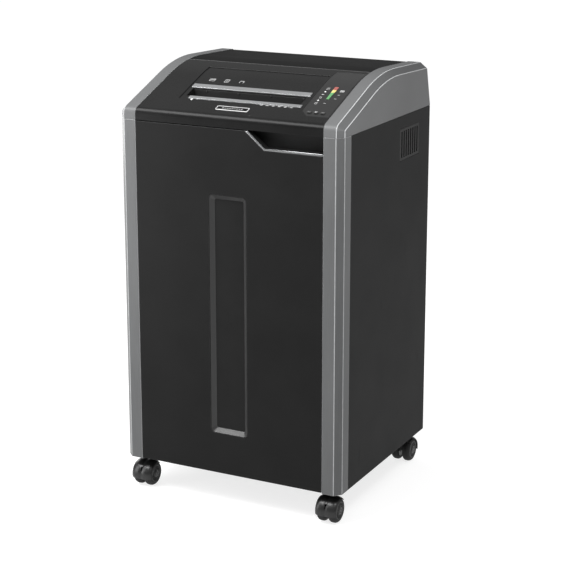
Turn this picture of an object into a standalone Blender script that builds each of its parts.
"""Floor-standing office paper shredder, modelled piece by piece.

Metres, +Z up. The origin is on the floor, at the middle of the body's plan. The front, with
the door, faces -Y. Lengths called "depth" are measured from the front face towards the back.
"""
import math

import bmesh
import bpy

# --- Body ---------------------------------------------------------------------------------
BODY_WIDTH = 0.530
BODY_DEPTH = 0.462
CABINET_HEIGHT = 0.770
HEAD_HEIGHT = 0.105
CASTER_HEIGHT = 0.072
CORNER_CHAMFER = 0.014
PIECE_GAP = 0.0003

# --- Cabinet ------------------------------------------------------------------------------
SIDE_THICKNESS = 0.015
BASE_THICKNESS = 0.018
REAR_THICKNESS = 0.012
REAR_SETBACK = 0.002
SHELF_THICKNESS = 0.012
MECHANISM_BAY_HEIGHT = 0.170
POST_FRONT_FACE = 0.028
POST_SIDE_FACE = 0.030
POST_WALL = 0.003
CROSS_PANEL_THICKNESS = 0.006
CROSS_LIP_THICKNESS = 0.003
FINGER_DEPTH = 0.030
VENT_DEPTH = 0.294
VENT_LENGTH = 0.108
VENT_HEIGHT = 0.070
VENT_DROP = 0.029
VENT_SLOTS = 8
VENT_SLOT_WIDTH = 0.006
GRILLE_THICKNESS = 0.004
GRILLE_BORDER = 0.006

# --- Head ---------------------------------------------------------------------------------
HEAD_WALL = 0.003
NOSE_HEIGHT = 0.024
NOSE_RADIUS = 0.016
FRONT_SLOPE = math.radians(21.0)
TOP_FALL = math.radians(2.0)
CROWN_RADIUS = 0.360
REAR_LEAN = math.radians(14.0)
REAR_RADIUS = 0.006
NOSE_SEGMENTS = 5
CROWN_SEGMENTS = 8
REAR_SEGMENTS = 2
COVER_SPLIT_DEPTH = 0.229
REAR_COVER_DROP = 0.0015

# --- Feed slot ----------------------------------------------------------------------------
FEED_WIDTH = 0.236
MOUTH_WIDTH = 0.272
MOUTH_FRONT_REACH = 0.0205
MOUTH_REAR_REACH = 0.0110
FEED_THROAT = 0.006
BEZEL_EDGE_ROOM = 0.004
BEZEL_FRONT_REACH = 0.0345
BEZEL_REAR_REACH = 0.0995
BEZEL_DROP = 0.0015
STRIP_END_MARGIN = 0.005
UPPER_STRIP_LENGTH = 0.0130
UPPER_STRIP_REACH = 0.0126
LOWER_STRIP_LENGTH = 0.0095
LOWER_STRIP_REACH = 0.0221
LOWER_STRIP_SHORTER = 0.016
STRIP_RISE = 0.0010
STRIP_SEAT = 0.0012
CHUTE_WALL = 0.006
CHUTE_DROP = 0.017
CHUTE_SHOULDER_ROOM = 0.002

# --- Control panel ------------------------------------------------------------------------
PANEL_EDGE_ROOM = 0.004
PANEL_WIDTH = 0.068
PANEL_FRONT_DEPTH = 0.030
PANEL_REAR_DEPTH = 0.215
PANEL_CORNER = 0.018
PANEL_DROP = 0.0005
LIGHT_BAR_WIDTH = 0.010
LIGHT_BAR_DEPTH = 0.095
LIGHT_BAR_LENGTH = 0.050
BUTTON_DEPTH = 0.043
BUTTON_PITCH = 0.0155
BUTTON_LENGTH = 0.010
BUTTON_WIDTH = 0.006
BUTTON_RISE = 0.0018
BUTTON_CLEARANCE = 0.0004
BUTTON_SKIRT = 0.006
BADGE_WIDTH = 0.076
BADGE_X = -0.003
BADGE_DEPTH = 0.024
BADGE_LENGTH = 0.014
BADGE_RISE = 0.0006

# --- Door ---------------------------------------------------------------------------------
DOOR_THICKNESS = 0.018
DOOR_SIDE_GAP = 0.001
DOOR_BACK_GAP = 0.001
DOOR_END_GAP = 0.0015
HANDLE_DEPTH = 0.040
HANDLE_START = 0.040
HANDLE_SLANT = 0.047
TRIM_WIDTH = 0.005
WINDOW_WIDTH = 0.090
WINDOW_TOP_DROP = 0.144
WINDOW_HEIGHT = 0.532
WINDOW_RADIUS = 0.010
WINDOW_BEVEL = 0.010
WINDOW_RECESS = 0.009
WINDOW_THICKNESS = 0.012
HINGE_CUP_RADIUS = 0.0175
HINGE_CUP_INSET = 0.024
HINGE_CUP_RISE = 0.003
HINGE_ARM_WIDTH = 0.014
HINGE_ARM_LENGTH = 0.060
HINGE_END_DISTANCE = 0.100
CATCH_SIZE = (0.040, 0.014, 0.012)
SENSOR_SIZE = (0.026, 0.010, 0.010)
CATCH_X = 0.170
SENSOR_X = 0.110

# --- Waste bin ----------------------------------------------------------------------------
BIN_WALL = 0.003
BIN_SIDE_ROOM = 0.012
BIN_FRONT_ROOM = 0.010
BIN_REAR_ROOM = 0.010
BIN_TOP_ROOM = 0.022
BIN_RIM = 0.008
BIN_RIM_HEIGHT = 0.012
BIN_TAPER = 0.010

# --- Cutting mechanism --------------------------------------------------------------------
CUTTER_SPACING = 0.042
CUTTER_DROP = 0.045
CUTTER_OVERLAP = 0.003
CUTTER_GROOVE_DEPTH = 0.005
CUTTER_DISC_WIDTH = 0.0096
CUTTER_PITCH = 0.020
CUTTER_DISCS = 12
SHAFT_RADIUS = 0.008
SHAFT_SIDES = 14
SHAFT_BORE = 0.0015
SHAFT_END_REACH = 0.002
BEARING_CLEARANCE = 0.0006
PLATE_THICKNESS = 0.004
PLATE_ROOM = 0.005
PLATE_FRONT_ROOM = 0.002
PLATE_REAR_MARGIN = 0.0125
DRIVE_PLATE_MARGIN = 0.007
PLATE_TOP_DROP = 0.006
COMB_BAR = 0.004
COMB_FINGER_WIDTH = 0.008
COMB_THICKNESS = 0.005
COMB_REACH_GAP = 0.0015
COMB_BAR_ROOM = 0.002
COMB_FRONT_ROOM = 0.0015

# --- Gears: involute, 20 degree pressure angle --------------------------------------------
PRESSURE_ANGLE = math.radians(20.0)
CUTTER_GEAR_TEETH = 14
REDUCTION_SMALL_TEETH = 12
REDUCTION_LARGE_TEETH = 45
MOTOR_PINION_TEETH = 12
MOTOR_MODULE = 0.002
REDUCTION_DIRECTION = math.radians(-30.0)
MOTOR_DIRECTION = math.radians(-25.0)
GEAR_WIDTH = 0.012
FAST_GEAR_WIDTH = 0.008
GEAR_ROOM = 0.002
TOOTH_ADDENDUM = 0.80
TOOTH_DEDENDUM = 1.15
TOOTH_BACKLASH = 0.06
FLANK_STEPS = 2
MOTOR_RADIUS = 0.042
MOTOR_LENGTH = 0.215
MOTOR_SHAFT_RADIUS = 0.006

# --- Power entry --------------------------------------------------------------------------
INLET_X = -0.170
INLET_DROP = 0.110
INLET_FLANGE = (0.034, 0.064)
INLET_BODY = (0.028, 0.056)
INLET_BODY_DEPTH = 0.030
SOCKET_SIZE = (0.022, 0.016)
SOCKET_DEPTH = 0.018
SOCKET_OFFSET = -0.014
PIN_SIZE = (0.002, 0.005)
PIN_PITCH = 0.007
ROCKER_OFFSET = 0.015
ROCKER_SIZE = (0.013, 0.020)
ROCKER_DEPTH = 0.008
ROCKER_TILT = math.radians(8.0)
ROCKER_CLEARANCE = 0.0010
BOARD_SIZE = (0.110, 0.090)
BOARD_THICKNESS = 0.002
BOARD_X = -0.200
BOARD_DEPTH = 0.250

# --- Casters ------------------------------------------------------------------------------
WHEEL_RADIUS = 0.0275
WHEEL_WIDTH = 0.0205
WHEEL_EDGE = 0.003
WHEEL_SIDES = 20
CASTER_X_INSET = 0.035
CASTER_TRAIL = 0.020
CASTER_WEB = 0.006
AXLE_RADIUS = 0.004
AXLE_CLEARANCE = 0.0004
HOOD_CLEARANCE = 0.0012
HOOD_WALL = 0.002
HOOD_LOW_ANGLE = math.radians(-15.0)
HOOD_HIGH_ANGLE = math.radians(130.0)
HOOD_SEGMENTS = 10
SWIVEL_RADIUS = 0.015
STEM_RADIUS = 0.0055
STEM_INSERT = 0.015

# --- Values worked out from the sizes above -----------------------------------------------
HALF_WIDTH = BODY_WIDTH / 2
FRONT_Y = -BODY_DEPTH / 2
FLOOR_Z = CASTER_HEIGHT
SEAM_Z = CASTER_HEIGHT + CABINET_HEIGHT
DOORWAY = HALF_WIDTH - CORNER_CHAMFER - POST_FRONT_FACE
PANEL_HALF = HALF_WIDTH - SIDE_THICKNESS - PIECE_GAP
POST_DEPTH = CORNER_CHAMFER + POST_SIDE_FACE
REAR_PANEL_BACK = BODY_DEPTH - REAR_SETBACK
REAR_PANEL_FRONT = REAR_PANEL_BACK - REAR_THICKNESS
INNER_FRONT = DOOR_THICKNESS + DOOR_BACK_GAP
POST_RETURN = INNER_FRONT - PIECE_GAP
SHELF_Z = SEAM_Z - MECHANISM_BAY_HEIGHT
SHELF_TOP = SHELF_Z + SHELF_THICKNESS
CUTTER_DISC_RADIUS = CUTTER_SPACING / 2 + CUTTER_OVERLAP
CUTTER_SPACER_RADIUS = CUTTER_SPACING / 2 - CUTTER_GROOVE_DEPTH
PLATE_FRONT_DEPTH = FINGER_DEPTH + CROSS_PANEL_THICKNESS + PLATE_FRONT_ROOM
COMB_FRONT_DEPTH = PLATE_FRONT_DEPTH + COMB_FRONT_ROOM + COMB_BAR
FRONT_CUTTER_DEPTH = COMB_FRONT_DEPTH + COMB_BAR_ROOM + CUTTER_DISC_RADIUS
FEED_CENTRE_DEPTH = FRONT_CUTTER_DEPTH + CUTTER_SPACING / 2
CUTTER_Z = SEAM_Z - CUTTER_DROP
CUTTER_LENGTH = CUTTER_DISCS * CUTTER_PITCH
PLATE_INNER_X = CUTTER_LENGTH / 2 + PLATE_ROOM
PLATE_OUTER_X = PLATE_INNER_X + PLATE_THICKNESS
CUTTER_MODULE = CUTTER_SPACING / CUTTER_GEAR_TEETH
PANEL_RIGHT = DOORWAY - PANEL_EDGE_ROOM
PANEL_LEFT = PANEL_RIGHT - PANEL_WIDTH
PANEL_MIDDLE = (PANEL_LEFT + PANEL_RIGHT) / 2
BEZEL_WIDTH = 2 * (PANEL_LEFT - BEZEL_EDGE_ROOM)
BEZEL_FRONT_DEPTH = FEED_CENTRE_DEPTH - BEZEL_FRONT_REACH
BEZEL_REAR_DEPTH = FEED_CENTRE_DEPTH + BEZEL_REAR_REACH
STRIP_WIDTH = BEZEL_WIDTH - 2 * STRIP_END_MARGIN
UPPER_STRIP_DEPTH = FEED_CENTRE_DEPTH + UPPER_STRIP_REACH
LOWER_STRIP_DEPTH = FEED_CENTRE_DEPTH - LOWER_STRIP_REACH - LOWER_STRIP_LENGTH
MOUTH_FRONT_DEPTH = FEED_CENTRE_DEPTH - MOUTH_FRONT_REACH
MOUTH_REAR_DEPTH = FEED_CENTRE_DEPTH + MOUTH_REAR_REACH
GEAR_X = PLATE_OUTER_X + GEAR_ROOM
FAST_GEAR_X = GEAR_X + GEAR_WIDTH + GEAR_ROOM

MATERIALS = {
    "laminate": ((0.030, 0.030, 0.030, 1.0), 0.55, 0.0),
    "door": ((0.022, 0.022, 0.022, 1.0), 0.35, 0.0),
    "silver": ((0.30, 0.30, 0.31, 1.0), 0.38, 0.6),
    "trim": ((0.50, 0.50, 0.51, 1.0), 0.25, 0.9),
    "black_plastic": ((0.035, 0.035, 0.036, 1.0), 0.45, 0.0),
    "gloss_black": ((0.012, 0.012, 0.013, 1.0), 0.12, 0.0),
    "smoked": ((0.018, 0.018, 0.018, 1.0), 0.20, 0.0),
    "light_bar": ((0.25, 0.55, 0.20, 1.0), 0.30, 0.0),
    "steel": ((0.45, 0.45, 0.46, 1.0), 0.35, 1.0),
    "plated_steel": ((0.60, 0.59, 0.55, 1.0), 0.30, 1.0),
    "motor_iron": ((0.10, 0.10, 0.11, 1.0), 0.55, 0.6),
    "circuit": ((0.03, 0.16, 0.07, 1.0), 0.50, 0.0),
    "bin_plastic": ((0.06, 0.06, 0.065, 1.0), 0.50, 0.0),
    "tyre": ((0.020, 0.020, 0.020, 1.0), 0.60, 0.0),
    "rocker_red": ((0.35, 0.02, 0.02, 1.0), 0.30, 0.0),
}


def clear_scene():
    """Remove every object of the open file."""
    for item in list(bpy.data.objects):
        bpy.data.objects.remove(item, do_unlink=True)


def make_material(node_name, finish):
    """A Principled material of this node's own, from the table of finishes."""
    colour, roughness, metallic = MATERIALS[finish]
    material = bpy.data.materials.new(node_name + "_" + finish)
    material.use_nodes = True
    shader = material.node_tree.nodes["Principled BSDF"]
    shader.inputs["Base Color"].default_value = colour
    shader.inputs["Roughness"].default_value = roughness
    shader.inputs["Metallic"].default_value = metallic
    material.diffuse_color = colour
    return material


# --- Shape helpers ------------------------------------------------------------------------

def at_depth(depth):
    """The Y of a plane this far behind the front face."""
    return FRONT_Y + depth


def new_object(name, shape):
    """An object that holds this bmesh, closed and facing outwards."""
    bmesh.ops.recalc_face_normals(shape, faces=shape.faces)
    mesh = bpy.data.meshes.new(name)
    shape.to_mesh(mesh)
    shape.free()
    item = bpy.data.objects.new(name, mesh)
    bpy.context.scene.collection.objects.link(item)
    return item


def loft(loops, closed=False):
    """A solid through loops of points; its ends are capped, or joined when it is closed."""
    shape = bmesh.new()
    rings = [[shape.verts.new(point) for point in loop] for loop in loops]
    pairs = list(zip(rings, rings[1:]))
    if closed:
        pairs.append((rings[-1], rings[0]))
    else:
        shape.faces.new(list(reversed(rings[0])))
        shape.faces.new(rings[-1])
    for lower, upper in pairs:
        count = len(lower)
        for index in range(count):
            following = (index + 1) % count
            shape.faces.new((lower[index], lower[following], upper[following], upper[index]))
    return shape


def prism(name, outline, low, high, axis):
    """A flat outline pushed along one axis; its two values are the other axes in order."""
    def point(pair, along):
        if axis == "X":
            return (along, pair[0], pair[1])
        if axis == "Y":
            return (pair[0], along, pair[1])
        return (pair[0], pair[1], along)
    loops = [[point(pair, along) for pair in outline] for along in (low, high)]
    return new_object(name, loft(loops))


def rectangle(low_a, high_a, low_b, high_b):
    """Corners of a rectangle, in turn."""
    return [(low_a, low_b), (high_a, low_b), (high_a, high_b), (low_a, high_b)]


def block(name, low, high):
    """A box between two corners."""
    return prism(name, rectangle(low[0], high[0], low[1], high[1]), low[2], high[2], "Z")


def circle(centre, radius, sides, turn=0.0):
    """Corners of a regular polygon."""
    angles = [turn + 2 * math.pi * step / sides for step in range(sides)]
    return [(centre[0] + radius * math.cos(a), centre[1] + radius * math.sin(a)) for a in angles]


def arc(centre, radius, start, end, segments):
    """Points along an arc."""
    angles = [start + (end - start) * step / segments for step in range(segments + 1)]
    return [(centre[0] + radius * math.cos(a), centre[1] + radius * math.sin(a)) for a in angles]


def rounded_rectangle(half_width, low, high, radius, segments=3):
    """A rectangle about x = 0 with round corners."""
    points = []
    corners = [(half_width, low, -90), (half_width, high, 0), (-half_width, high, 90), (-half_width, low, 180)]
    for corner_x, corner_z, start in corners:
        centre_x = corner_x - math.copysign(radius, corner_x)
        centre_z = corner_z + radius if corner_z == low else corner_z - radius
        begin = math.radians(start)
        points += arc((centre_x, centre_z), radius, begin, begin + math.pi / 2, segments)
    return points


def turned(name, profile, centre, sides):
    """A bored solid turned about X, from (distance along X, radius) pairs round its section."""
    loops = []
    for along, radius in profile:
        ring = circle(centre, radius, sides)
        loops.append([(along, ring_y, ring_z) for ring_y, ring_z in ring])
    return new_object(name, loft(loops, closed=True))


def combine(target, tool, operation):
    """Apply one Boolean with an object that is then removed."""
    modifier = target.modifiers.new(operation.lower(), "BOOLEAN")
    modifier.operation = operation
    modifier.solver = "EXACT"
    modifier.object = tool
    bpy.context.view_layer.update()
    evaluated = target.evaluated_get(bpy.context.evaluated_depsgraph_get())
    result = bpy.data.meshes.new_from_object(evaluated)
    target.modifiers.clear()
    spare = target.data
    target.data = result
    bpy.data.meshes.remove(spare)
    bpy.data.objects.remove(tool, do_unlink=True)
    return target


def cut(target, tool):
    """Take the tool's volume out of the target."""
    return combine(target, tool, "DIFFERENCE")


def weld(target, tool):
    """Make the two one solid."""
    return combine(target, tool, "UNION")


def finish(item, finish_name, origin=None, parent=None):
    """Give a node its material, its origin on its joint's axis, and its parent empty."""
    item.data.materials.clear()
    item.data.materials.append(make_material(item.name, finish_name))
    if origin is not None:
        for vertex in item.data.vertices:
            vertex.co.x -= origin[0]
            vertex.co.y -= origin[1]
            vertex.co.z -= origin[2]
        item.location = origin
    if parent is not None:
        item.parent = parent
        item.matrix_parent_inverse = parent.matrix_world.inverted()
    return item


def make_empty(name, location):
    """An empty that marks a joint's axis."""
    item = bpy.data.objects.new(name, None)
    item.location = location
    bpy.context.scene.collection.objects.link(item)
    bpy.context.view_layer.update()
    return item


# --- Side outline of the head -------------------------------------------------------------

def fillet(first, second, radius, segments):
    """Arc that rounds the corner of two lines, each given as (normal angle, distance)."""
    angle_a, distance_a = first
    angle_b, distance_b = second
    reach_a = distance_a - radius
    reach_b = distance_b - radius
    spread = math.sin(angle_b - angle_a)
    centre_y = (reach_a * math.sin(angle_b) - reach_b * math.sin(angle_a)) / spread
    centre_z = (reach_b * math.cos(angle_a) - reach_a * math.cos(angle_b)) / spread
    return arc((centre_y, centre_z), radius, angle_a, angle_b, segments)


def head_outline(inset, rear_inset=None, floor=0.0):
    """Depths and heights over the seam, from the nose's foot over the crown to the rear foot."""
    rear_inset = inset if rear_inset is None else rear_inset
    slope_angle = math.pi / 2 + FRONT_SLOPE
    slope_distance = NOSE_HEIGHT * math.cos(FRONT_SLOPE)
    top_angle = math.pi / 2 - TOP_FALL
    crown_z = HEAD_HEIGHT - CROWN_RADIUS
    slope_reach = slope_distance - CROWN_RADIUS
    crown_y = (crown_z * math.cos(FRONT_SLOPE) - slope_reach) / math.sin(FRONT_SLOPE)
    top_distance = crown_y * math.sin(TOP_FALL) + crown_z * math.cos(TOP_FALL) + CROWN_RADIUS
    rear_distance = BODY_DEPTH * math.cos(REAR_LEAN)
    front_line = (math.pi, -inset)
    slope_line = (slope_angle, slope_distance - inset)
    top_line = (top_angle, top_distance - inset)
    rear_line = (REAR_LEAN, rear_distance - rear_inset)
    nose_radius = max(NOSE_RADIUS - inset, PIECE_GAP)
    rear_radius = max(REAR_RADIUS - inset, PIECE_GAP)
    points = [(inset, floor)]
    points += fillet(front_line, slope_line, nose_radius, NOSE_SEGMENTS)
    points += arc((crown_y, crown_z), CROWN_RADIUS - inset, slope_angle, top_angle, CROWN_SEGMENTS)
    points += fillet(top_line, rear_line, rear_radius, REAR_SEGMENTS)
    rear_foot = (rear_distance - rear_inset - floor * math.sin(REAR_LEAN)) / math.cos(REAR_LEAN)
    points.append((rear_foot, floor))
    return points


def split_at(points, depth):
    """The point where an outline that runs backwards crosses this depth."""
    for (depth_a, height_a), (depth_b, height_b) in zip(points, points[1:]):
        if depth_a <= depth <= depth_b and depth_b > depth_a:
            share = (depth - depth_a) / (depth_b - depth_a)
            return (depth, height_a + share * (height_b - height_a))
    raise ValueError("the head's outline doesn't reach this depth")


def skin_height(depth, inset=0.0):
    """World height of the head's skin at this depth."""
    return SEAM_Z + split_at(head_outline(inset), depth)[1]


def skin_section(front, rear, top_inset, bottom_inset):
    """World (y, z) section of a strip of the head's skin between two depths."""
    def between(inset):
        points = head_outline(inset)
        middle = [point for point in points[1:-1] if front + PIECE_GAP < point[0] < rear - PIECE_GAP]
        return [split_at(points, front)] + middle + [split_at(points, rear)]
    section = between(top_inset) + list(reversed(between(bottom_inset)))
    return [(at_depth(depth), SEAM_Z + height) for depth, height in section]


def to_world(points):
    """Depths and heights over the seam as world (y, z)."""
    return [(at_depth(depth), SEAM_Z + height) for depth, height in points]


# --- Cabinet ------------------------------------------------------------------------------

def side_sign(side):
    """-1 for left and 1 for right, seen from the front."""
    return -1 if side == "left" else 1


def build_base():
    """Floor of the cabinet, with a socket for each caster's stem."""
    low = (-PANEL_HALF, at_depth(INNER_FRONT), FLOOR_Z)
    high = (PANEL_HALF, at_depth(REAR_PANEL_FRONT - PIECE_GAP), FLOOR_Z + BASE_THICKNESS)
    base = block("base_panel", low, high)
    for centre, _ in caster_places().values():
        hole = circle(centre, STEM_RADIUS + BEARING_CLEARANCE, SHAFT_SIDES)
        cut(base, prism("stem_hole", hole, FLOOR_Z - 0.01, FLOOR_Z + BASE_THICKNESS + 0.01, "Z"))
    finish(base, "laminate")


def build_side(side):
    """Side panel with a window for its vent grille, and the slotted grille."""
    sign = side_sign(side)
    outer = HALF_WIDTH
    inner = HALF_WIDTH - SIDE_THICKNESS
    low_x, high_x = sorted((sign * inner, sign * outer))
    low = (low_x, at_depth(POST_DEPTH + PIECE_GAP), FLOOR_Z)
    high = (high_x, at_depth(BODY_DEPTH), SEAM_Z - PIECE_GAP)
    panel = block(side + "_side_panel", low, high)
    vent_top = SEAM_Z - VENT_DROP
    opening = rectangle(at_depth(VENT_DEPTH), at_depth(VENT_DEPTH + VENT_LENGTH), vent_top - VENT_HEIGHT, vent_top)
    cut(panel, prism("vent_window", opening, low_x - 0.01, high_x + 0.01, "X"))
    finish(panel, "laminate")
    grille_outer = outer - PIECE_GAP
    low_x, high_x = sorted((sign * (grille_outer - GRILLE_THICKNESS), sign * grille_outer))
    low = (low_x, at_depth(VENT_DEPTH + PIECE_GAP), vent_top - VENT_HEIGHT + PIECE_GAP)
    high = (high_x, at_depth(VENT_DEPTH + VENT_LENGTH - PIECE_GAP), vent_top - PIECE_GAP)
    grille = block(side + "_vent_grille", low, high)
    pitch = (VENT_LENGTH - 2 * GRILLE_BORDER) / VENT_SLOTS
    for index in range(VENT_SLOTS):
        middle = VENT_DEPTH + GRILLE_BORDER + pitch * (index + 0.5)
        slot = rectangle(
            at_depth(middle - VENT_SLOT_WIDTH / 2),
            at_depth(middle + VENT_SLOT_WIDTH / 2),
            vent_top - VENT_HEIGHT + GRILLE_BORDER,
            vent_top - GRILLE_BORDER,
        )
        cut(grille, prism("vent_slot", slot, low_x - 0.01, high_x + 0.01, "X"))
    finish(grille, "black_plastic")


def build_rear_panel():
    """Back of the cabinet, cut for the power entry."""
    low = (-PANEL_HALF, at_depth(REAR_PANEL_FRONT), FLOOR_Z)
    high = (PANEL_HALF, at_depth(REAR_PANEL_BACK), SEAM_Z - PIECE_GAP)
    panel = block("rear_panel", low, high)
    inlet_z = SEAM_Z - INLET_DROP
    half_width = INLET_BODY[0] / 2 + PIECE_GAP
    half_height = INLET_BODY[1] / 2 + PIECE_GAP
    window = rectangle(INLET_X - half_width, INLET_X + half_width, inlet_z - half_height, inlet_z + half_height)
    cut(panel, prism("inlet_window", window, at_depth(REAR_PANEL_FRONT - 0.01), at_depth(BODY_DEPTH), "Y"))
    finish(panel, "laminate")


def build_shelf():
    """Shelf under the mechanism, open below the cutters, and the panel behind the door's top."""
    low = (-PANEL_HALF, at_depth(INNER_FRONT), SHELF_Z)
    high = (PANEL_HALF, at_depth(REAR_PANEL_FRONT - PIECE_GAP), SHELF_TOP)
    shelf = block("mechanism_shelf", low, high)
    low = (-FEED_WIDTH / 2, at_depth(FEED_CENTRE_DEPTH - CUTTER_DISC_RADIUS * 1.4), SHELF_Z - 0.01)
    high = (FEED_WIDTH / 2, at_depth(FEED_CENTRE_DEPTH + CUTTER_DISC_RADIUS * 1.4), SHELF_TOP + 0.01)
    cut(shelf, block("chip_drop", low, high))
    finish(shelf, "laminate")
    half = DOORWAY - PIECE_GAP
    wall_front = at_depth(FINGER_DEPTH)
    wall_rear = at_depth(FINGER_DEPTH + CROSS_PANEL_THICKNESS)
    lip_front = at_depth(HEAD_WALL + PIECE_GAP)
    lip_z = SEAM_Z + DOOR_END_GAP
    section = [
        (wall_front, SHELF_TOP + PIECE_GAP),
        (wall_rear, SHELF_TOP + PIECE_GAP),
        (wall_rear, lip_z + CROSS_LIP_THICKNESS),
        (lip_front, lip_z + CROSS_LIP_THICKNESS),
        (lip_front, lip_z),
        (wall_front, lip_z),
    ]
    finish(prism("front_cross_panel", section, -half, half, "X"), "black_plastic")


def build_post(side):
    """Corner post: a folded section with a front face, a chamfer, a side face and a return."""
    sign = side_sign(side)
    skew = POST_WALL * math.tan(math.radians(22.5))
    chamfer_x = HALF_WIDTH - CORNER_CHAMFER
    inner_x = HALF_WIDTH - POST_WALL
    section = [
        (DOORWAY, 0.0),
        (chamfer_x, 0.0),
        (HALF_WIDTH, CORNER_CHAMFER),
        (HALF_WIDTH, POST_DEPTH),
        (inner_x, POST_DEPTH),
        (inner_x, CORNER_CHAMFER + skew),
        (chamfer_x - skew, POST_WALL),
        (DOORWAY + POST_WALL, POST_WALL),
        (DOORWAY + POST_WALL, POST_RETURN),
        (DOORWAY, POST_RETURN),
    ]
    outline = [(sign * section_x, at_depth(depth)) for section_x, depth in section]
    post = prism("front_" + side + "_post", outline, FLOOR_Z, SEAM_Z - PIECE_GAP, "Z")
    finish(post, "silver")


# --- Head ---------------------------------------------------------------------------------

def rail_solid(name, sign, inset, inner_x, floor):
    """The head's end, chamfered along its outer edge, as one solid."""
    skew = inset * math.tan(math.radians(22.5))
    chamfer_x = HALF_WIDTH - CORNER_CHAMFER - skew
    outer_x = HALF_WIDTH - inset
    outer_inset = CORNER_CHAMFER + skew
    plain = to_world(head_outline(inset, floor=floor))
    lowered = to_world(head_outline(outer_inset, rear_inset=inset, floor=floor))
    loops = [
        [(sign * inner_x, y, z) for y, z in plain],
        [(sign * chamfer_x, y, z) for y, z in plain],
        [(sign * outer_x, y, z) for y, z in lowered],
    ]
    return new_object(name, loft(loops))


def build_rail(side):
    """Side cap of the head: a shell, open towards the middle and the cabinet."""
    sign = side_sign(side)
    rail = rail_solid(side + "_head_rail", sign, 0.0, DOORWAY, PIECE_GAP)
    cavity = rail_solid("rail_cavity", sign, HEAD_WALL, DOORWAY - 0.01, -0.01)
    finish(cut(rail, cavity), "silver")


def control_outline(grow):
    """Plan of the control panel, with its near inner corner cut off."""
    left = PANEL_LEFT - grow
    right = PANEL_RIGHT + grow
    front = at_depth(PANEL_FRONT_DEPTH - grow)
    rear = at_depth(PANEL_REAR_DEPTH + grow)
    corner = PANEL_CORNER + grow * (1 - math.sqrt(2))
    return [(left, front + corner), (left + corner, front), (right, front), (right, rear), (left, rear)]


def build_top_cover():
    """Main cover from the nose to the split, cut for the bezel, the controls and the badge."""
    half = DOORWAY - PIECE_GAP
    outer = head_outline(0.0, floor=PIECE_GAP)
    inner = head_outline(HEAD_WALL, floor=PIECE_GAP)
    front_outer = [point for point in outer if point[0] < COVER_SPLIT_DEPTH]
    front_inner = [point for point in inner if point[0] < COVER_SPLIT_DEPTH]
    section = front_outer + [split_at(outer, COVER_SPLIT_DEPTH), split_at(inner, COVER_SPLIT_DEPTH)]
    section += list(reversed(front_inner))
    cover = prism("head_top_cover", to_world(section), -half, half, "X")
    bezel_half = BEZEL_WIDTH / 2 + PIECE_GAP
    low = (-bezel_half, at_depth(BEZEL_FRONT_DEPTH - PIECE_GAP), SEAM_Z + 0.01)
    high = (bezel_half, at_depth(BEZEL_REAR_DEPTH + PIECE_GAP), SEAM_Z + HEAD_HEIGHT + 0.02)
    cut(cover, block("bezel_window", low, high))
    controls = prism("control_window", control_outline(PIECE_GAP), SEAM_Z, SEAM_Z + HEAD_HEIGHT + 0.02, "Z")
    cut(cover, controls)
    badge_half = BADGE_WIDTH / 2 + PIECE_GAP
    low = (BADGE_X - badge_half, at_depth(BADGE_DEPTH - PIECE_GAP), SEAM_Z + 0.005)
    high = (BADGE_X + badge_half, at_depth(BADGE_DEPTH + BADGE_LENGTH + PIECE_GAP), SEAM_Z + HEAD_HEIGHT)
    cut(cover, block("badge_window", low, high))
    finish(cover, "black_plastic")


def build_rear_cover():
    """Rear cover from the split over the crown and down the back of the head."""
    half = DOORWAY - PIECE_GAP
    start = COVER_SPLIT_DEPTH + 2 * PIECE_GAP
    outer = head_outline(REAR_COVER_DROP, rear_inset=0.0, floor=PIECE_GAP)
    inner = head_outline(REAR_COVER_DROP + HEAD_WALL, rear_inset=HEAD_WALL, floor=PIECE_GAP)
    section = [split_at(outer, start)] + [point for point in outer if point[0] > start]
    section += list(reversed([split_at(inner, start)] + [point for point in inner if point[0] > start]))
    finish(prism("rear_top_cover", to_world(section), -half, half, "X"), "black_plastic")


def feed_rectangle(half_width, front, rear, height):
    """Corners of a level rectangle at a height, between two depths."""
    return [
        (-half_width, at_depth(front), height),
        (half_width, at_depth(front), height),
        (half_width, at_depth(rear), height),
        (-half_width, at_depth(rear), height),
    ]


def build_slot_strips(bezel):
    """The two bright strips at the slot's edges, each seated in a groove of the bezel."""
    half = STRIP_WIDTH / 2
    strips = (
        ("upper_slot_strip", UPPER_STRIP_DEPTH, UPPER_STRIP_LENGTH, -half),
        ("lower_slot_strip", LOWER_STRIP_DEPTH, LOWER_STRIP_LENGTH, LOWER_STRIP_SHORTER - half),
    )
    for name, depth, length, left in strips:
        groove_floor = BEZEL_DROP + STRIP_SEAT + PIECE_GAP
        groove = skin_section(depth - PIECE_GAP, depth + length + PIECE_GAP, BEZEL_DROP - 0.01, groove_floor)
        cut(bezel, prism("groove", groove, left - PIECE_GAP, half + PIECE_GAP, "X"))
        section = skin_section(depth, depth + length, BEZEL_DROP - STRIP_RISE, BEZEL_DROP + STRIP_SEAT)
        finish(prism(name, section, left, half, "X"), "trim")


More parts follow.
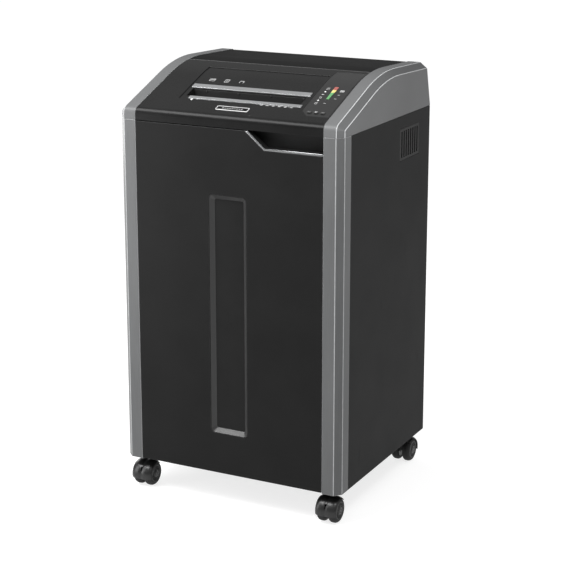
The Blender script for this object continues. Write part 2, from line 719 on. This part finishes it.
def build_chute():
    """The funnel under the slot, wide at the bezel and narrow between the cutter plates."""
    front = MOUTH_FRONT_DEPTH - CHUTE_WALL
    rear = MOUTH_REAR_DEPTH + CHUTE_WALL
    under_bezel = BEZEL_DROP + HEAD_WALL + PIECE_GAP
    foot = SEAM_Z - CHUTE_DROP
    shoulder = SEAM_Z - PLATE_TOP_DROP + CHUTE_SHOULDER_ROOM
    outline = [
        (at_depth(front), foot),
        (at_depth(rear), foot),
        (at_depth(rear), skin_height(rear, under_bezel)),
        (at_depth(front), skin_height(front, under_bezel)),
    ]
    wide = MOUTH_WIDTH / 2 + CHUTE_WALL
    narrow = FEED_WIDTH / 2 + CHUTE_WALL
    chute = prism("paper_chute", outline, -wide, wide, "X")
    for low, high in ((-wide - 0.01, -narrow), (narrow, wide + 0.01)):
        corner = rectangle(low, high, at_depth(front - 0.01), at_depth(rear + 0.01))
        cut(chute, prism("corner", corner, foot - 0.01, shoulder, "Z"))
    throat_front = FEED_CENTRE_DEPTH - FEED_THROAT / 2
    throat_rear = FEED_CENTRE_DEPTH + FEED_THROAT / 2
    mouth_z = skin_height(MOUTH_FRONT_DEPTH)
    funnel = [
        feed_rectangle(FEED_WIDTH / 2, throat_front, throat_rear, foot - 0.01),
        feed_rectangle(FEED_WIDTH / 2, throat_front, throat_rear, shoulder),
        feed_rectangle(MOUTH_WIDTH / 2, MOUTH_FRONT_DEPTH, MOUTH_REAR_DEPTH, mouth_z - 0.008),
        feed_rectangle(MOUTH_WIDTH / 2, MOUTH_FRONT_DEPTH, MOUTH_REAR_DEPTH, SEAM_Z + HEAD_HEIGHT),
    ]
    cut(chute, new_object("throat", loft(funnel)))
    finish(chute, "black_plastic")


def build_feed():
    """Bezel round the feed slot, its two bright strips, and the chute down to the cutters."""
    half = BEZEL_WIDTH / 2
    section = skin_section(BEZEL_FRONT_DEPTH, BEZEL_REAR_DEPTH, BEZEL_DROP, BEZEL_DROP + HEAD_WALL)
    bezel = prism("feed_bezel", section, -half, half, "X")
    mouth = rectangle(
        -MOUTH_WIDTH / 2,
        MOUTH_WIDTH / 2,
        at_depth(MOUTH_FRONT_DEPTH),
        at_depth(MOUTH_REAR_DEPTH),
    )
    cut(bezel, prism("mouth", mouth, SEAM_Z, SEAM_Z + HEAD_HEIGHT + 0.02, "Z"))
    build_slot_strips(bezel)
    finish(bezel, "black_plastic")
    build_chute()


def button_places():
    """Centre of each button on the panel's skin."""
    names = ("reverse_button", "start_button", "forward_button")
    places = {}
    for index, name in enumerate(names):
        places[name] = (PANEL_MIDDLE + (index - 1) * BUTTON_PITCH, BUTTON_DEPTH)
    return places


def tilted_button(name, place, grow, low, high):
    """A round-ended key that stands square to the head's front slope."""
    centre_x, depth = place
    half = (BUTTON_LENGTH - BUTTON_WIDTH) / 2
    radius = BUTTON_WIDTH / 2 + grow
    outline = arc((half, 0.0), radius, -math.pi / 2, math.pi / 2, 6)
    outline += arc((-half, 0.0), radius, math.pi / 2, 3 * math.pi / 2, 6)
    key = prism(name, outline, low, high, "Z")
    cosine = math.cos(FRONT_SLOPE)
    sine = math.sin(FRONT_SLOPE)
    base_y = at_depth(depth)
    base_z = skin_height(depth)
    for vertex in key.data.vertices:
        along, rise = vertex.co.y, vertex.co.z
        vertex.co.x += centre_x
        vertex.co.y = base_y + along * cosine - rise * sine
        vertex.co.z = base_z + along * sine + rise * cosine
    return key


def build_controls():
    """Control panel inlaid in the cover, with its light bar, its three buttons and the badge."""
    half_bar = LIGHT_BAR_WIDTH / 2
    bottom = PANEL_DROP + HEAD_WALL
    section = skin_section(PANEL_FRONT_DEPTH - 0.005, PANEL_REAR_DEPTH + 0.005, PANEL_DROP, bottom)
    panel = prism("control_panel", section, PANEL_LEFT - 0.01, PANEL_RIGHT + 0.01, "X")
    plan = prism("control_plan", control_outline(0.0), SEAM_Z - 0.01, SEAM_Z + HEAD_HEIGHT + 0.02, "Z")
    combine(panel, plan, "INTERSECT")
    low = (PANEL_MIDDLE - half_bar - PIECE_GAP, at_depth(LIGHT_BAR_DEPTH - PIECE_GAP), SEAM_Z)
    rear = at_depth(LIGHT_BAR_DEPTH + LIGHT_BAR_LENGTH + PIECE_GAP)
    cut(panel, block("bar_window", low, (PANEL_MIDDLE + half_bar + PIECE_GAP, rear, SEAM_Z + HEAD_HEIGHT + 0.02)))
    for name, place in button_places().items():
        cut(panel, tilted_button("key_hole", place, BUTTON_CLEARANCE, -0.02, 0.02))
        key = tilted_button(name, place, 0.0, -BUTTON_SKIRT, BUTTON_RISE)
        origin = (place[0], at_depth(place[1]), skin_height(place[1]))
        finish(key, "gloss_black", origin=origin)
    finish(panel, "gloss_black")
    section = skin_section(LIGHT_BAR_DEPTH, LIGHT_BAR_DEPTH + LIGHT_BAR_LENGTH, PANEL_DROP, bottom)
    bar = prism("capacity_light_bar", section, PANEL_MIDDLE - half_bar, PANEL_MIDDLE + half_bar, "X")
    finish(bar, "light_bar")
    section = skin_section(BADGE_DEPTH, BADGE_DEPTH + BADGE_LENGTH, -BADGE_RISE, HEAD_WALL)
    badge = prism("badge_plate", section, BADGE_X - BADGE_WIDTH / 2, BADGE_X + BADGE_WIDTH / 2, "X")
    finish(badge, "trim")


# --- Door ---------------------------------------------------------------------------------

def build_door():
    """Door with its handle cut-away, bright trim, window tray and concealed hinges."""
    half = DOORWAY - DOOR_SIDE_GAP
    bottom = FLOOR_Z + DOOR_END_GAP
    top = SEAM_Z - DOOR_END_GAP
    notch_z = SEAM_Z - HANDLE_DEPTH
    hinge = make_empty("door_hinge_axis", (-half, FRONT_Y, bottom))
    slant_per_z = HANDLE_SLANT / HANDLE_DEPTH
    start_x = HANDLE_START + (SEAM_Z - top) * slant_per_z
    end_x = HANDLE_START + HANDLE_SLANT
    front = at_depth(0.0)
    back = at_depth(DOOR_THICKNESS)
    outline = [(-half, bottom), (half, bottom), (half, notch_z), (end_x, notch_z), (start_x, top), (-half, top)]
    door = prism("door_panel", outline, front, back, "Y")
    window_top = SEAM_Z - WINDOW_TOP_DROP
    window_low = window_top - WINDOW_HEIGHT
    opening = rounded_rectangle(WINDOW_WIDTH / 2, window_low, window_top, WINDOW_RADIUS)
    cut(door, prism("window_hole", opening, front - 0.01, back + 0.01, "Y"))
    finish(door, "door", parent=hinge)

    slope = math.hypot(HANDLE_SLANT, HANDLE_DEPTH)
    side_step = TRIM_WIDTH * slope / HANDLE_DEPTH
    gap_step = PIECE_GAP * slope / HANDLE_DEPTH
    low_z = notch_z + PIECE_GAP
    high_z = notch_z + TRIM_WIDTH
    low_x = end_x + gap_step - PIECE_GAP * slant_per_z
    high_x = end_x + side_step - TRIM_WIDTH * slant_per_z
    outline = [
        (low_x, low_z),
        (half, low_z),
        (half, high_z),
        (high_x, high_z),
        (start_x + side_step, top),
        (start_x + gap_step, top),
    ]
    finish(prism("door_handle_trim", outline, front, back, "Y"), "trim", parent=hinge)

    def tray_loop(inset, depth):
        radius = max(WINDOW_RADIUS - inset, WINDOW_RADIUS * 0.4)
        half_width = WINDOW_WIDTH / 2 - inset
        points = rounded_rectangle(half_width, window_low + inset, window_top - inset, radius)
        return [(x, at_depth(depth), z) for x, z in points]

    loops = [
        tray_loop(PIECE_GAP, WINDOW_THICKNESS),
        tray_loop(PIECE_GAP, 0.0),
        tray_loop(WINDOW_BEVEL, WINDOW_RECESS),
    ]
    finish(new_object("door_window", loft(loops)), "smoked", parent=hinge)

    arm_half = HINGE_ARM_WIDTH / 2
    places = (("lower", bottom + HINGE_END_DISTANCE), ("upper", SHELF_Z - HINGE_END_DISTANCE / 2))
    for place, height in places:
        cup_x = -half + HINGE_CUP_INSET
        cup_front = back + PIECE_GAP
        cup = prism(
            place + "_hinge_cup",
            circle((cup_x, height), HINGE_CUP_RADIUS, 16),
            cup_front,
            cup_front + HINGE_CUP_RISE,
            "Y",
        )
        finish(cup, "plated_steel", parent=hinge)
        arm_front = cup_front + HINGE_CUP_RISE + 0.001
        outline = [
            (cup_x, arm_front),
            (-PANEL_HALF + HINGE_ARM_WIDTH, arm_front + HINGE_ARM_WIDTH * 0.6),
            (-PANEL_HALF + HINGE_ARM_WIDTH, arm_front + HINGE_ARM_LENGTH),
            (-PANEL_HALF, arm_front + HINGE_ARM_LENGTH),
            (-PANEL_HALF, arm_front),
        ]
        arm = prism(place + "_hinge_arm", outline, height - arm_half, height + arm_half, "Z")
        finish(arm, "plated_steel")

    hang = SHELF_Z - PIECE_GAP
    for name, centre_x, size, look in (
        ("door_magnet_catch", CATCH_X, CATCH_SIZE, "black_plastic"),
        ("door_sensor", SENSOR_X, SENSOR_SIZE, "black_plastic"),
    ):
        low = (centre_x - size[0] / 2, at_depth(INNER_FRONT + PIECE_GAP), hang - size[2])
        high = (centre_x + size[0] / 2, at_depth(INNER_FRONT + PIECE_GAP + size[1]), hang)
        finish(block(name, low, high), look)


# --- Waste bin ----------------------------------------------------------------------------

def build_bin():
    """Pull-out bin with an open top, a stiff rim and slightly tapered walls."""
    half = PANEL_HALF - BIN_SIDE_ROOM
    front = INNER_FRONT + BIN_FRONT_ROOM
    rear = REAR_PANEL_FRONT - BIN_REAR_ROOM
    low = FLOOR_Z + BASE_THICKNESS + PIECE_GAP
    high = SHELF_Z - BIN_TOP_ROOM
    rim_z = high - BIN_RIM_HEIGHT

    def loop(inset, z):
        corners = rectangle(-half + inset, half - inset, at_depth(front + inset), at_depth(rear - inset))
        return [(x, y, z) for x, y in corners]

    body = BIN_RIM
    loops = [
        loop(body + BIN_TAPER, low),
        loop(body, rim_z),
        loop(0.0, rim_z),
        loop(0.0, high),
        loop(body + BIN_WALL, high),
        loop(body + BIN_TAPER + BIN_WALL, low + BIN_WALL),
    ]
    finish(new_object("waste_bin", loft(loops)), "bin_plastic")


# --- Cutters, gears and motor -------------------------------------------------------------

def involute_angle(radius, base_radius):
    """Angle turned by an involute between its base circle and this radius."""
    if radius <= base_radius:
        return 0.0
    roll = math.sqrt((radius / base_radius) ** 2 - 1)
    return roll - math.atan(roll)


def gear_outline(centre, teeth, module, phase):
    """Outline of an involute spur gear with a tooth's middle at the angle `phase`."""
    pitch_radius = teeth * module / 2
    base_radius = pitch_radius * math.cos(PRESSURE_ANGLE)
    tip_radius = pitch_radius + TOOTH_ADDENDUM * module
    root_radius = pitch_radius - TOOTH_DEDENDUM * module
    half_tooth = math.pi / 2 / teeth * (1 - TOOTH_BACKLASH)
    pitch_involute = involute_angle(pitch_radius, base_radius)
    start_radius = max(base_radius, root_radius)
    flank = []
    for step in range(FLANK_STEPS + 1):
        radius = start_radius + (tip_radius - start_radius) * step / FLANK_STEPS
        flank.append((radius, half_tooth + pitch_involute - involute_angle(radius, base_radius)))
    flank.insert(0, (root_radius, flank[0][1]))
    points = []
    for tooth in range(teeth):
        middle = phase + 2 * math.pi * tooth / teeth
        polar = [(radius, middle - angle) for radius, angle in flank]
        polar += [(radius, middle + angle) for radius, angle in reversed(flank)]
        points += [(centre[0] + r * math.cos(a), centre[1] + r * math.sin(a)) for r, a in polar]
    return points


def meshing_phase(phase, teeth, direction, other_teeth):
    """Phase of a gear that meshes with one of this phase, lying in this direction from it."""
    place = (direction - phase) * teeth / (2 * math.pi)
    return direction + math.pi - (0.5 - place) * 2 * math.pi / other_teeth


def shafts():
    """World (y, z) of every shaft of the drive."""
    front = (at_depth(FEED_CENTRE_DEPTH - CUTTER_SPACING / 2), CUTTER_Z)
    rear = (at_depth(FEED_CENTRE_DEPTH + CUTTER_SPACING / 2), CUTTER_Z)
    slow_reach = CUTTER_MODULE * (CUTTER_GEAR_TEETH + REDUCTION_SMALL_TEETH) / 2
    reduction = (
        rear[0] + slow_reach * math.cos(REDUCTION_DIRECTION),
        rear[1] + slow_reach * math.sin(REDUCTION_DIRECTION),
    )
    fast_reach = MOTOR_MODULE * (REDUCTION_LARGE_TEETH + MOTOR_PINION_TEETH) / 2
    motor = (
        reduction[0] + fast_reach * math.cos(MOTOR_DIRECTION),
        reduction[1] + fast_reach * math.sin(MOTOR_DIRECTION),
    )
    return {"front": front, "rear": rear, "reduction": reduction, "motor": motor}


def cutter_profile(shift):
    """Section of a cutter: shaft ends, and discs between narrower spacers."""
    half = CUTTER_LENGTH / 2
    left_end = -PLATE_OUTER_X - SHAFT_END_REACH
    right_end = GEAR_X + GEAR_WIDTH + PIECE_GAP
    profile = [(left_end, SHAFT_BORE), (left_end, SHAFT_RADIUS)]
    profile += [(-half, SHAFT_RADIUS), (-half, CUTTER_SPACER_RADIUS)]
    for index in range(CUTTER_DISCS):
        middle = -half + CUTTER_PITCH * (index + 0.5) + shift
        low = middle - CUTTER_DISC_WIDTH / 2
        high = middle + CUTTER_DISC_WIDTH / 2
        profile += [(low, CUTTER_SPACER_RADIUS), (low, CUTTER_DISC_RADIUS)]
        profile += [(high, CUTTER_DISC_RADIUS), (high, CUTTER_SPACER_RADIUS)]
    profile += [(half, CUTTER_SPACER_RADIUS), (half, SHAFT_RADIUS)]
    profile += [(right_end, SHAFT_RADIUS), (right_end, SHAFT_BORE)]
    return profile


def build_cutters():
    """The two interleaved cutters and the combs that keep them clear."""
    place = shafts()
    for name, shift in (("front", -CUTTER_PITCH / 4), ("rear", CUTTER_PITCH / 4)):
        centre = place[name]
        cutter = turned(name + "_cutter", cutter_profile(shift), centre, SHAFT_SIDES)
        finish(cutter, "steel", origin=(0.0, centre[0], centre[1]))
        away = -1 if name == "front" else 1
        tip = centre[0] + away * (CUTTER_SPACER_RADIUS + COMB_REACH_GAP)
        bar_near = centre[0] + away * (CUTTER_DISC_RADIUS + COMB_BAR_ROOM)
        bar_far = bar_near + away * COMB_BAR
        half = CUTTER_LENGTH / 2
        outline = [(-half, bar_near)]
        for index in range(CUTTER_DISCS):
            middle = -half + CUTTER_PITCH * (index + 0.5) + shift - CUTTER_PITCH / 2
            if middle - COMB_FINGER_WIDTH / 2 < -half:
                continue
            low = middle - COMB_FINGER_WIDTH / 2
            high = middle + COMB_FINGER_WIDTH / 2
            outline += [(low, bar_near), (low, tip), (high, tip), (high, bar_near)]
        outline += [(half, bar_near), (half, bar_far), (-half, bar_far)]
        low_z = centre[1] - COMB_THICKNESS / 2
        comb = prism(name + "_stripper_comb", outline, low_z, low_z + COMB_THICKNESS, "Z")
        finish(comb, "plated_steel")


def build_plates():
    """Side plates that carry the cutters; the right one also carries the gears and the motor."""
    place = shafts()
    foot = SHELF_TOP + PIECE_GAP
    left_rear = place["rear"][0] + CUTTER_DISC_RADIUS + PLATE_REAR_MARGIN
    right_rear = place["motor"][0] + MOTOR_RADIUS + DRIVE_PLATE_MARGIN
    for side, plate_rear in (("left", left_rear), ("right", right_rear)):
        sign = side_sign(side)
        low_x, high_x = sorted((sign * PLATE_INNER_X, sign * PLATE_OUTER_X))
        low = (low_x, at_depth(PLATE_FRONT_DEPTH), foot)
        high = (high_x, plate_rear, SEAM_Z - PLATE_TOP_DROP)
        plate = block(side + "_cutter_plate", low, high)
        holes = [(place["front"], SHAFT_RADIUS), (place["rear"], SHAFT_RADIUS)]
        if side == "right":
            holes += [(place["reduction"], MOTOR_SHAFT_RADIUS), (place["motor"], MOTOR_SHAFT_RADIUS)]
        for centre, radius in holes:
            outline = circle(centre, radius + BEARING_CLEARANCE, SHAFT_SIDES)
            cut(plate, prism("bearing_hole", outline, low_x - 0.01, high_x + 0.01, "X"))
        finish(plate, "plated_steel")


def rod(name, centre, radius, low, high):
    """A plain round bar along X."""
    return prism(name, circle(centre, radius, SHAFT_SIDES), low, high, "X")


def build_gears():
    """Gear train: motor pinion, compound reduction gear, and the pair that ties the cutters."""
    place = shafts()
    rear_phase = math.pi
    front_phase = meshing_phase(rear_phase, CUTTER_GEAR_TEETH, math.pi, CUTTER_GEAR_TEETH)
    small_phase = meshing_phase(rear_phase, CUTTER_GEAR_TEETH, REDUCTION_DIRECTION, REDUCTION_SMALL_TEETH)
    large_phase = small_phase
    motor_phase = meshing_phase(large_phase, REDUCTION_LARGE_TEETH, MOTOR_DIRECTION, MOTOR_PINION_TEETH)
    slow_end = GEAR_X + GEAR_WIDTH
    fast_end = FAST_GEAR_X + FAST_GEAR_WIDTH
    for name, phase in (("front", front_phase), ("rear", rear_phase)):
        centre = place[name]
        outline = gear_outline(centre, CUTTER_GEAR_TEETH, CUTTER_MODULE, phase)
        gear = prism(name + "_cutter_gear", outline, GEAR_X, slow_end, "X")
        cut(gear, rod("bore", centre, SHAFT_RADIUS + PIECE_GAP, GEAR_X - 0.01, slow_end + 0.01))
        finish(gear, "steel", origin=(GEAR_X, centre[0], centre[1]))
    centre = place["reduction"]
    outline = gear_outline(centre, REDUCTION_LARGE_TEETH, MOTOR_MODULE, large_phase)
    gear = prism("reduction_gear", outline, FAST_GEAR_X, fast_end, "X")
    outline = gear_outline(centre, REDUCTION_SMALL_TEETH, CUTTER_MODULE, small_phase)
    weld(gear, prism("small_gear", outline, GEAR_X, FAST_GEAR_X + 0.001, "X"))
    weld(gear, rod("stub_shaft", centre, MOTOR_SHAFT_RADIUS, PLATE_INNER_X - 0.004, fast_end + 0.002))
    finish(gear, "steel", origin=(GEAR_X, centre[0], centre[1]))
    centre = place["motor"]
    outline = gear_outline(centre, MOTOR_PINION_TEETH, MOTOR_MODULE, motor_phase)
    pinion = prism("motor_pinion", outline, FAST_GEAR_X, fast_end, "X")
    motor_face = PLATE_INNER_X - PIECE_GAP
    weld(pinion, rod("motor_shaft", centre, MOTOR_SHAFT_RADIUS, motor_face - 0.030, fast_end + 0.002))
    finish(pinion, "steel", origin=(GEAR_X, centre[0], centre[1]))
    motor = rod("motor", centre, MOTOR_RADIUS, motor_face - MOTOR_LENGTH, motor_face)
    bore = rod("motor_bore", centre, MOTOR_SHAFT_RADIUS + BEARING_CLEARANCE, motor_face - 0.032, motor_face + 0.01)
    finish(cut(motor, bore), "motor_iron")


def build_board():
    """Control board with its relay, transformer and capacitor."""
    foot = SHELF_TOP + PIECE_GAP
    front = BOARD_DEPTH
    rear = BOARD_DEPTH + BOARD_SIZE[0]
    low = (BOARD_X, at_depth(front), foot)
    high = (BOARD_X + BOARD_THICKNESS, at_depth(rear), foot + BOARD_SIZE[1])
    board = block("control_board", low, high)
    root = BOARD_X + BOARD_THICKNESS / 2
    parts = (
        ((0.010, 0.020), (0.038, 0.052), 0.026),
        ((0.052, 0.012), (0.072, 0.030), 0.018),
        ((0.052, 0.044), (0.092, 0.072), 0.014),
    )
    for low_corner, high_corner, rise in parts:
        low = (root, at_depth(front + low_corner[0]), foot + low_corner[1])
        high = (BOARD_X + BOARD_THICKNESS + rise, at_depth(front + high_corner[0]), foot + high_corner[1])
        weld(board, block("component", low, high))
    finish(board, "circuit")


def build_power_entry():
    """Inlet module in the rear panel: flange, three-pin socket and rocker switch."""
    middle_z = SEAM_Z - INLET_DROP
    flange_front = at_depth(REAR_PANEL_BACK + PIECE_GAP)
    back = at_depth(BODY_DEPTH)
    body_front = at_depth(BODY_DEPTH - INLET_BODY_DEPTH)
    half = (INLET_BODY[0] / 2, INLET_BODY[1] / 2)
    body = rectangle(INLET_X - half[0], INLET_X + half[0], middle_z - half[1], middle_z + half[1])
    inlet = prism("mains_inlet", body, body_front, back - 0.0005, "Y")
    half = (INLET_FLANGE[0] / 2, INLET_FLANGE[1] / 2)
    flange = rectangle(INLET_X - half[0], INLET_X + half[0], middle_z - half[1], middle_z + half[1])
    weld(inlet, prism("inlet_flange", flange, flange_front, back, "Y"))
    socket_z = middle_z + SOCKET_OFFSET
    half = (SOCKET_SIZE[0] / 2, SOCKET_SIZE[1] / 2)
    socket = rectangle(INLET_X - half[0], INLET_X + half[0], socket_z - half[1], socket_z + half[1])
    cut(inlet, prism("socket", socket, back - SOCKET_DEPTH, back + 0.01, "Y"))
    half = (PIN_SIZE[0] / 2, PIN_SIZE[1] / 2)
    for index, lift in ((-1, 0.0), (0, 0.0025), (1, 0.0)):
        pin_x = INLET_X + index * PIN_PITCH
        pin_z = socket_z + lift
        pin = rectangle(pin_x - half[0], pin_x + half[0], pin_z - half[1], pin_z + half[1])
        weld(inlet, prism("pin", pin, back - SOCKET_DEPTH - 0.001, back - 0.004, "Y"))
    rocker_z = middle_z + ROCKER_OFFSET
    half = (ROCKER_SIZE[0] / 2 + PIECE_GAP, ROCKER_SIZE[1] / 2 + ROCKER_CLEARANCE)
    well = rectangle(INLET_X - half[0], INLET_X + half[0], rocker_z - half[1], rocker_z + half[1])
    well_depth = ROCKER_DEPTH + 0.004
    cut(inlet, prism("rocker_well", well, back - well_depth, back + 0.01, "Y"))
    finish(inlet, "black_plastic")
    half_height = ROCKER_SIZE[1] / 2
    crease = back - 0.003
    pivot = (crease - ROCKER_DEPTH * 0.45, rocker_z)
    shape = [(crease, 0.0)]
    shape.append((crease + half_height * math.tan(ROCKER_TILT), half_height))
    shape += [(crease - ROCKER_DEPTH, half_height * 0.55), (crease - ROCKER_DEPTH, -half_height * 0.55)]
    shape.append((crease + half_height * math.tan(ROCKER_TILT), -half_height))
    outline = []
    cosine = math.cos(ROCKER_TILT)
    sine = math.sin(ROCKER_TILT)
    for y, offset in shape:
        away = y - pivot[0]
        outline.append((pivot[0] + away * cosine - offset * sine, rocker_z + away * sine + offset * cosine))
    half_width = ROCKER_SIZE[0] / 2
    rocker = prism("power_rocker", outline, INLET_X - half_width, INLET_X + half_width, "X")
    finish(rocker, "rocker_red", origin=(INLET_X, pivot[0], pivot[1]))


# --- Casters ------------------------------------------------------------------------------

def caster_places():
    """Swivel centre of each caster, and the way along Y in which its wheels trail."""
    inset_x = HALF_WIDTH - CASTER_X_INSET
    inset_y = CASTER_TRAIL + WHEEL_RADIUS + HOOD_CLEARANCE + HOOD_WALL
    places = {}
    for side in ("left", "right"):
        centre_x = side_sign(side) * inset_x
        places["front_" + side] = ((centre_x, at_depth(inset_y)), -1)
        places["rear_" + side] = ((centre_x, at_depth(BODY_DEPTH - inset_y)), 1)
    return places


def build_caster(name, centre, trail):
    """Hooded twin-wheel caster: one housing with its stem and axle, and two wheels."""
    centre_x, swivel_y = centre
    axle = (swivel_y + trail * CASTER_TRAIL, WHEEL_RADIUS)
    inner = WHEEL_RADIUS + HOOD_CLEARANCE
    outer = inner + HOOD_WALL
    half_web = CASTER_WEB / 2
    wheel_low = half_web + AXLE_CLEARANCE * 2
    wheel_high = wheel_low + WHEEL_WIDTH
    half_hood = wheel_high + AXLE_CLEARANCE

    def turn_to_side(points):
        return [(axle[0] + trail * along, axle[1] + height) for along, height in points]

    hood = arc((0.0, 0.0), outer, HOOD_LOW_ANGLE, HOOD_HIGH_ANGLE, HOOD_SEGMENTS)
    hood += arc((0.0, 0.0), inner, HOOD_HIGH_ANGLE, HOOD_LOW_ANGLE, HOOD_SEGMENTS)
    housing = prism(name + "_caster_housing", turn_to_side(hood), centre_x - half_hood, centre_x + half_hood, "X")
    web_radius = (inner + outer) / 2
    web = arc((0.0, 0.0), web_radius, HOOD_LOW_ANGLE, HOOD_HIGH_ANGLE + math.radians(15), HOOD_SEGMENTS)
    web += arc((0.0, 0.0), AXLE_RADIUS * 2, math.radians(200), math.radians(310), 4)
    weld(housing, prism("web", turn_to_side(web), centre_x - half_web, centre_x + half_web, "X"))
    weld(housing, rod("axle", axle, AXLE_RADIUS, centre_x - wheel_high, centre_x + wheel_high))
    cap_low = axle[1] + inner + 0.0003
    cap = circle(centre, SWIVEL_RADIUS, SHAFT_SIDES)
    weld(housing, prism("swivel_cap", cap, cap_low, FLOOR_Z - PIECE_GAP, "Z"))
    stem = circle(centre, STEM_RADIUS, SHAFT_SIDES)
    weld(housing, prism("stem", stem, cap_low + 0.004, FLOOR_Z + STEM_INSERT, "Z"))
    finish(housing, "black_plastic", origin=(centre_x, swivel_y, FLOOR_Z))
    bore = AXLE_RADIUS + AXLE_CLEARANCE
    for side in ("left", "right"):
        sign = side_sign(side)
        near = centre_x + sign * wheel_low
        far = centre_x + sign * wheel_high
        edge = sign * WHEEL_EDGE
        profile = [
            (near, bore),
            (near, WHEEL_RADIUS - WHEEL_EDGE),
            (near + edge, WHEEL_RADIUS),
            (far - edge, WHEEL_RADIUS),
            (far, WHEEL_RADIUS - WHEEL_EDGE),
            (far, bore),
        ]
        wheel = turned(name + "_caster_wheel_" + side, profile, axle, WHEEL_SIDES)
        finish(wheel, "tyre", origin=(centre_x, axle[0], axle[1]))


def main():
    clear_scene()
    build_base()
    build_rear_panel()
    build_shelf()
    for side in ("left", "right"):
        build_side(side)
        build_post(side)
        build_rail(side)
    build_top_cover()
    build_rear_cover()
    build_feed()
    build_controls()
    build_door()
    build_bin()
    build_plates()
    build_cutters()
    build_gears()
    build_board()
    build_power_entry()
    for name, (centre, trail) in caster_places().items():
        build_caster(name, centre, trail)


main()
